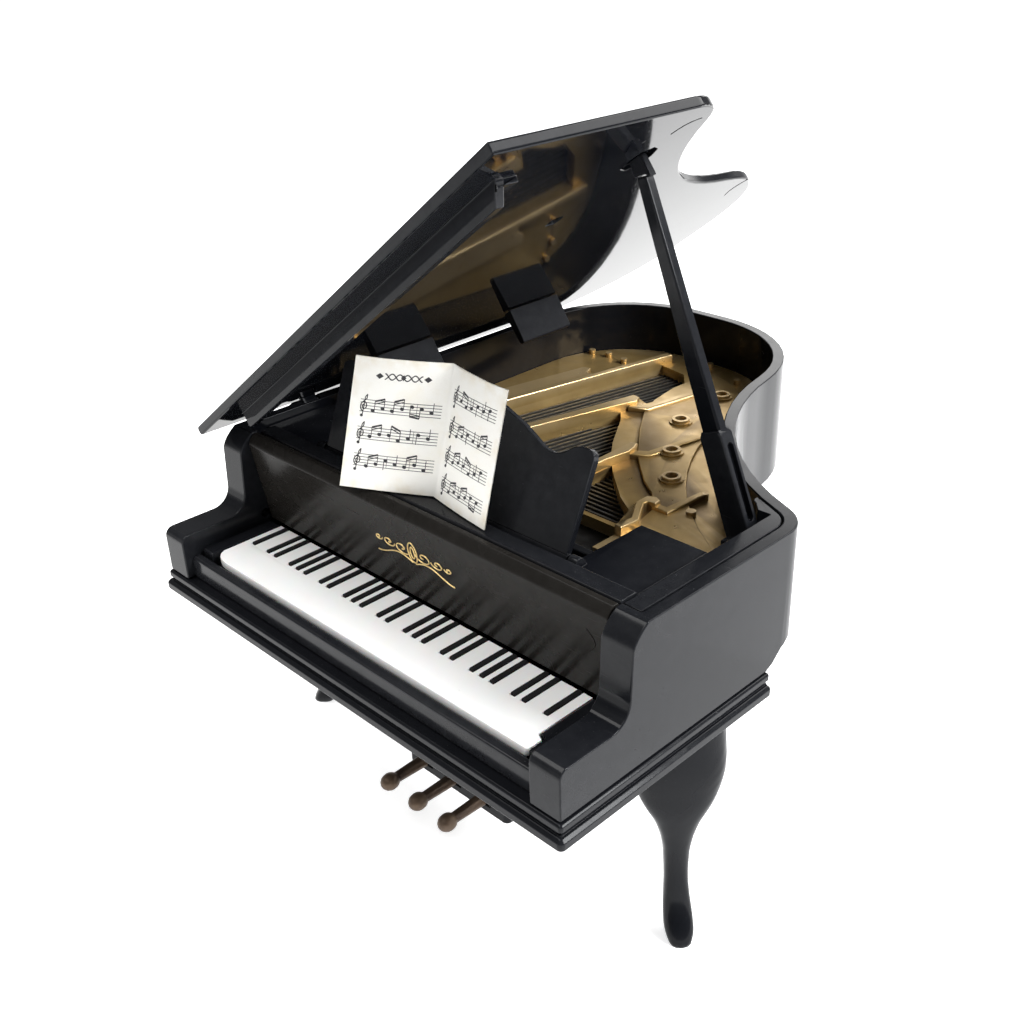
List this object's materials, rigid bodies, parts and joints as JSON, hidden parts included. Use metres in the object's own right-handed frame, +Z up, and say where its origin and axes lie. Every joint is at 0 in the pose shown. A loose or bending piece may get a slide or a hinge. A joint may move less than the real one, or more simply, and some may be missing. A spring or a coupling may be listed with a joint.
{
  "type": "miniature grand piano",
  "caption": "Doll's house grand piano with a raised lid on a prop, folding key cover, music desk with a score, working pedals and curved legs.",
  "frame": {"origin": "middle of the bounding box's footprint, on the ground under the legs", "axes": "+Z up, -Y towards the player, +X towards the treble end of the keyboard"},
  "size_m": [0.1342, 0.1654, 0.1681],
  "materials": {
    "black_lacquer": "glossy black styrene with fine scratches",
    "satin_black": "satin black styrene",
    "dark_board": "dull dark plastic with fine ridges",
    "gold_plate": "satin gold paint on plastic",
    "white_key_plastic": "smooth white",
    "black_key_plastic": "flat black",
    "pedal_bronze": "dark bronze paint",
    "steel_pin": "drawn wire",
    "steel_screw": "zinc plated",
    "score_paper": "cream printed card, aged at the edges"
  },
  "bodies": {
    "case": {"case_rim": "black_lacquer", "key_bed": "black_lacquer", "bottom_board": "satin_black", "soundboard": "dark_board", "iron_plate": "gold_plate", "liner_right": "black_lacquer", "front_rail": "black_lacquer", "shelf_panel_left": "black_lacquer", "shelf_panel_right": "black_lacquer", "pin_block": "satin_black", "white_keys": "white_key_plastic", "black_keys": "black_key_plastic", "key_block_left": "black_lacquer", "key_block_right": "black_lacquer", "key_slip": "black_lacquer", "lid_hinge_pin_1": "steel_pin", "lid_hinge_pin_2": "steel_pin", "prop_pin": "steel_pin", "leg_front_right": "satin_black", "leg_front_left": "satin_black", "leg_tail": "satin_black", "pedal_lyre": "satin_black", "pedal_box": "satin_black", "pedal_pin": "steel_pin", "base_screw_1": "steel_screw", "base_screw_2": "steel_screw", "base_screw_3": "steel_screw", "base_screw_4": "steel_screw", "floor_screw_1": "steel_screw", "floor_screw_2": "steel_screw", "floor_screw_3": "steel_screw"},
    "lid": {"lid_panel": "black_lacquer", "lid_tab_front": "black_lacquer", "lid_tab_rear": "black_lacquer", "lid_catch": "satin_black"},
    "prop": {"lid_prop": "black_lacquer"},
    "key_cover": {"fallboard": "black_lacquer"},
    "desk": {"music_desk": "black_lacquer"},
    "score": {"sheet_music": "score_paper"},
    "pedal_soft": {"pedal_left": "pedal_bronze"},
    "pedal_centre": {"pedal_middle": "pedal_bronze"},
    "pedal_loud": {"pedal_right": "pedal_bronze"}
  },
  "joints": [
    {"name": "lid_hinge", "type": "hinge", "parent": "case", "child": "lid", "pos_m": [-0.06417, 0.00417, 0.0878], "axis": [0, -1, 0], "range_deg": [0, 40]},
    {"name": "prop_fold", "type": "hinge", "parent": "case", "child": "prop", "pos_m": [0.05463, -0.01333, 0.0797], "axis": [0, -1, 0], "range_deg": [0, 66]},
    {"name": "key_cover_hinge", "type": "hinge", "parent": "case", "child": "key_cover", "pos_m": [0.00053, -0.05513, 0.0669], "axis": [1, 0, 0], "range_deg": [0, 80]},
    {"name": "desk_fold", "type": "hinge", "parent": "case", "child": "desk", "pos_m": [0.00053, -0.05013, 0.0876], "axis": [-1, 0, 0], "range_deg": [0, 60]},
    {"name": "score_slide", "type": "slide", "parent": "case", "child": "score", "axis": [0, -1, 0], "range_m": [0, 0.02]},
    {"name": "pedal_soft_press", "type": "hinge", "parent": "case", "child": "pedal_soft", "pos_m": [-0.00982, -0.04673, 0.0116], "axis": [1, 0, 0], "range_deg": [0, 7], "stiffness_Nm_per_rad": 0.01},
    {"name": "pedal_centre_press", "type": "hinge", "parent": "case", "child": "pedal_centre", "pos_m": [0.00053, -0.04673, 0.0116], "axis": [1, 0, 0], "range_deg": [0, 7], "stiffness_Nm_per_rad": 0.01},
    {"name": "pedal_loud_press", "type": "hinge", "parent": "case", "child": "pedal_loud", "pos_m": [0.01088, -0.04673, 0.0116], "axis": [1, 0, 0], "range_deg": [0, 7], "stiffness_Nm_per_rad": 0.01}
  ]
}
